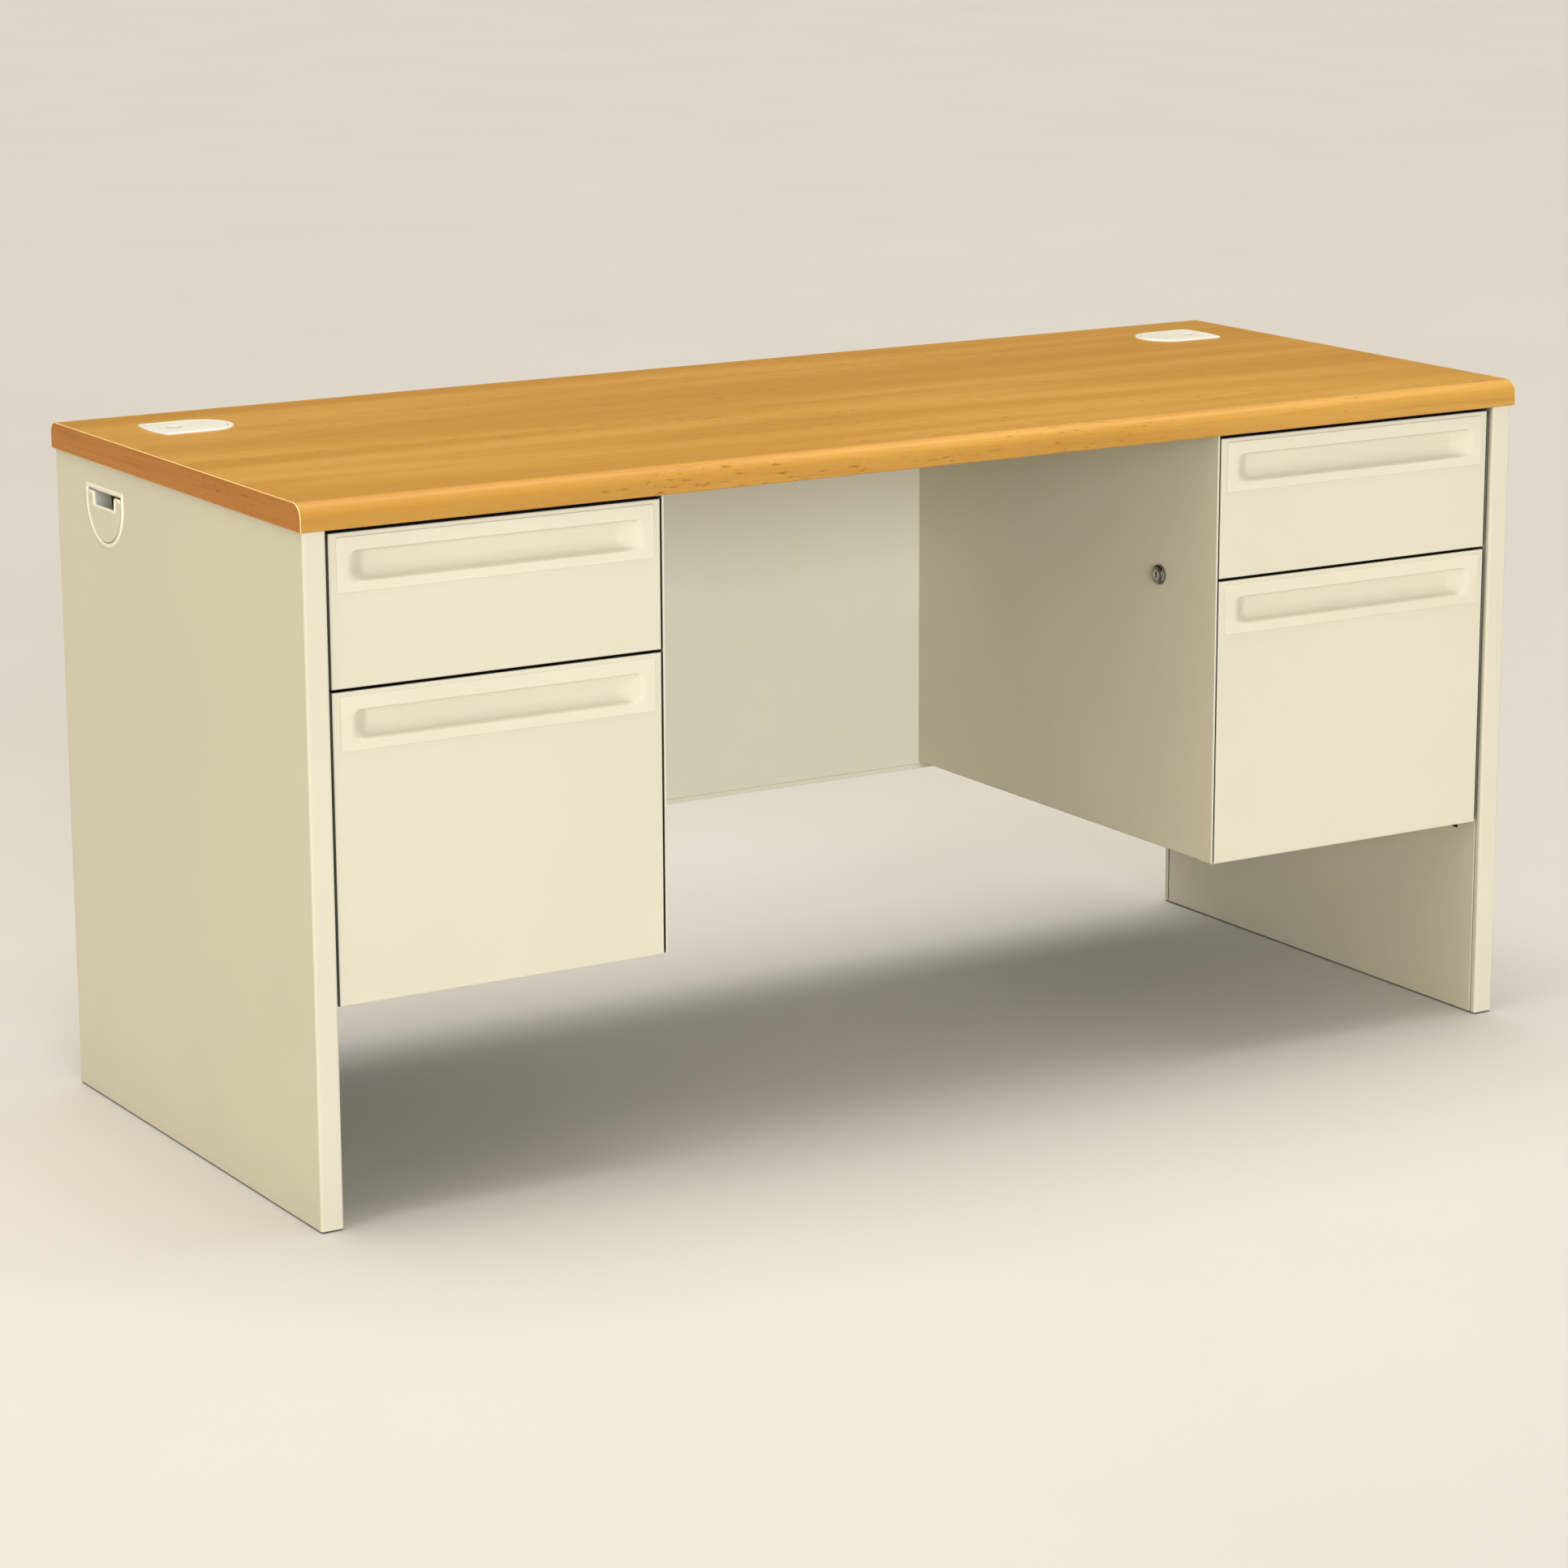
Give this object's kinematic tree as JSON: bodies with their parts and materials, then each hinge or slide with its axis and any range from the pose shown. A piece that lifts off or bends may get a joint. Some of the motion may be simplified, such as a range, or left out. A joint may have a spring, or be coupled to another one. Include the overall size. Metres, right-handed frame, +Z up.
{
  "type": "double-pedestal desk",
  "caption": "Steel teacher desk with a wood-grain worktop, hanging drawer pedestals on both sides of a kneespace, and cable grommets.",
  "frame": {"origin": "on the floor, under the middle of the worktop", "axes": "+Z up; the drawers face -Y; +X is to the right of a person facing the drawer fronts"},
  "size_m": [1.524, 0.6224, 0.7472],
  "materials": {
    "oak_laminate": "satin high-pressure laminate with a honey oak grain",
    "edge_band": "satin edge band, darker oak",
    "particleboard": "raw pressed board",
    "backer_sheet": "matt brown balancing sheet",
    "putty_paint": "fine-textured putty powder coat",
    "putty_plastic": "moulded, slightly warmer and smoother than the paint",
    "white_plastic": "moulded semi-gloss",
    "zinc_steel": "bright zinc plate",
    "lock_chrome": "polished nickel-chrome",
    "lock_face": "satin nickel",
    "black_nylon": "moulded nylon"
  },
  "bodies": {
    "desk_frame": {"worktop_core": "particleboard", "worktop_laminate": "oak_laminate", "worktop_backer": "backer_sheet", "worktop_side_bands": "edge_band", "left_end_outer_skin": "putty_paint", "left_end_inner_skin": "putty_paint", "left_ped_inner_side": "putty_paint", "left_ped_outer_side": "putty_paint", "left_ped_back": "putty_paint", "left_ped_cross_rails": "putty_paint", "right_end_outer_skin": "putty_paint", "right_end_inner_skin": "putty_paint", "right_ped_inner_side": "putty_paint", "right_ped_outer_side": "putty_paint", "right_ped_back": "putty_paint", "right_ped_cross_rails": "putty_paint", "modesty_panel": "putty_paint", "end_panel_foot_channels": "zinc_steel", "end_panel_top_channels": "zinc_steel", "glide_nuts": "zinc_steel", "slide_cabinet_members": "zinc_steel", "assembly_screws": "zinc_steel", "lock_bar_guides": "zinc_steel", "lock_barrels": "lock_chrome", "top_grommet_bezels": "white_plastic", "end_grommet_bezels": "putty_plastic"},
    "left_box_drawer": {"left_box_tray": "putty_paint", "left_box_front": "putty_paint", "left_box_pull": "putty_plastic", "left_box_slide_members": "zinc_steel"},
    "left_file_drawer": {"left_file_tray": "putty_paint", "left_file_front": "putty_paint", "left_file_pull": "putty_plastic", "left_file_slide_members": "zinc_steel", "left_file_hang_rails": "zinc_steel"},
    "left_file_intermediate": {"left_file_intermediate_members": "zinc_steel"},
    "left_lock_cylinder": {"left_lock_plug": "lock_face", "left_lock_cam": "zinc_steel"},
    "left_lock_bar": {"left_lock_bar": "zinc_steel"},
    "left_top_grommet_cap": {"left_top_grommet_cap": "white_plastic"},
    "left_end_grommet_cover": {"left_end_grommet_cover": "putty_plastic"},
    "glide_front_left": {"glide_front_left": "black_nylon"},
    "glide_rear_left": {"glide_rear_left": "black_nylon"},
    "right_box_drawer": {"right_box_tray": "putty_paint", "right_box_front": "putty_paint", "right_box_pull": "putty_plastic", "right_box_slide_members": "zinc_steel"},
    "right_file_drawer": {"right_file_tray": "putty_paint", "right_file_front": "putty_paint", "right_file_pull": "putty_plastic", "right_file_slide_members": "zinc_steel", "right_file_hang_rails": "zinc_steel"},
    "right_file_intermediate": {"right_file_intermediate_members": "zinc_steel"},
    "right_lock_cylinder": {"right_lock_plug": "lock_face", "right_lock_cam": "zinc_steel"},
    "right_lock_bar": {"right_lock_bar": "zinc_steel"},
    "right_top_grommet_cap": {"right_top_grommet_cap": "white_plastic"},
    "right_end_grommet_cover": {"right_end_grommet_cover": "putty_plastic"},
    "glide_front_right": {"glide_front_right": "black_nylon"},
    "glide_rear_right": {"glide_rear_right": "black_nylon"}
  },
  "joints": [
    {"name": "left_box_drawer_slide", "type": "slide", "parent": "desk_frame", "child": "left_box_drawer", "axis": [0, -1, 0], "range_m": [0, 0.285]},
    {"name": "left_file_drawer_slide", "type": "slide", "parent": "desk_frame", "child": "left_file_drawer", "axis": [0, -1, 0], "range_m": [0, 0.37]},
    {"name": "left_file_intermediate_slide", "type": "slide", "parent": "desk_frame", "child": "left_file_intermediate", "axis": [0, -1, 0], "range_m": [0, 0.185]},
    {"name": "left_lock_turn", "type": "hinge", "parent": "desk_frame", "child": "left_lock_cylinder", "pos_m": [-0.35, -0.1974, 0.5456], "axis": [-1, 0, 0], "range_deg": [0, 90]},
    {"name": "left_lock_bar_drop", "type": "slide", "parent": "desk_frame", "child": "left_lock_bar", "axis": [0, 0, -1], "range_m": [0, 0.02545]},
    {"name": "left_top_cap_lift", "type": "slide", "parent": "desk_frame", "child": "left_top_grommet_cap", "axis": [0, 0, 1], "range_m": [0, 0.03]},
    {"name": "left_end_cover_pull", "type": "slide", "parent": "desk_frame", "child": "left_end_grommet_cover", "axis": [-1, 0, 0], "range_m": [0, 0.03]},
    {"name": "glide_front_left_screw", "type": "slide", "parent": "desk_frame", "child": "glide_front_left", "axis": [0, 0, -1], "range_m": [0, 0.012]},
    {"name": "glide_rear_left_screw", "type": "slide", "parent": "desk_frame", "child": "glide_rear_left", "axis": [0, 0, -1], "range_m": [0, 0.012]},
    {"name": "right_box_drawer_slide", "type": "slide", "parent": "desk_frame", "child": "right_box_drawer", "axis": [0, -1, 0], "range_m": [0, 0.285]},
    {"name": "right_file_drawer_slide", "type": "slide", "parent": "desk_frame", "child": "right_file_drawer", "axis": [0, -1, 0], "range_m": [0, 0.37]},
    {"name": "right_file_intermediate_slide", "type": "slide", "parent": "desk_frame", "child": "right_file_intermediate", "axis": [0, -1, 0], "range_m": [0, 0.185]},
    {"name": "right_lock_turn", "type": "hinge", "parent": "desk_frame", "child": "right_lock_cylinder", "pos_m": [0.35, -0.1974, 0.5456], "axis": [-1, 0, 0], "range_deg": [0, 90]},
    {"name": "right_lock_bar_drop", "type": "slide", "parent": "desk_frame", "child": "right_lock_bar", "axis": [0, 0, -1], "range_m": [0, 0.02545]},
    {"name": "right_top_cap_lift", "type": "slide", "parent": "desk_frame", "child": "right_top_grommet_cap", "axis": [0, 0, 1], "range_m": [0, 0.03]},
    {"name": "right_end_cover_pull", "type": "slide", "parent": "desk_frame", "child": "right_end_grommet_cover", "axis": [1, 0, 0], "range_m": [0, 0.03]},
    {"name": "glide_front_right_screw", "type": "slide", "parent": "desk_frame", "child": "glide_front_right", "axis": [0, 0, -1], "range_m": [0, 0.012]},
    {"name": "glide_rear_right_screw", "type": "slide", "parent": "desk_frame", "child": "glide_rear_right", "axis": [0, 0, -1], "range_m": [0, 0.012]}
  ],
  "couplings": [
    {"joint": "left_file_intermediate_slide", "follows": "left_file_drawer_slide", "ratio": 0.5},
    {"joint": "left_lock_turn", "follows": "left_lock_bar_drop", "rad_per_m": 61.707},
    {"joint": "right_file_intermediate_slide", "follows": "right_file_drawer_slide", "ratio": 0.5},
    {"joint": "right_lock_turn", "follows": "right_lock_bar_drop", "rad_per_m": 61.707}
  ]
}
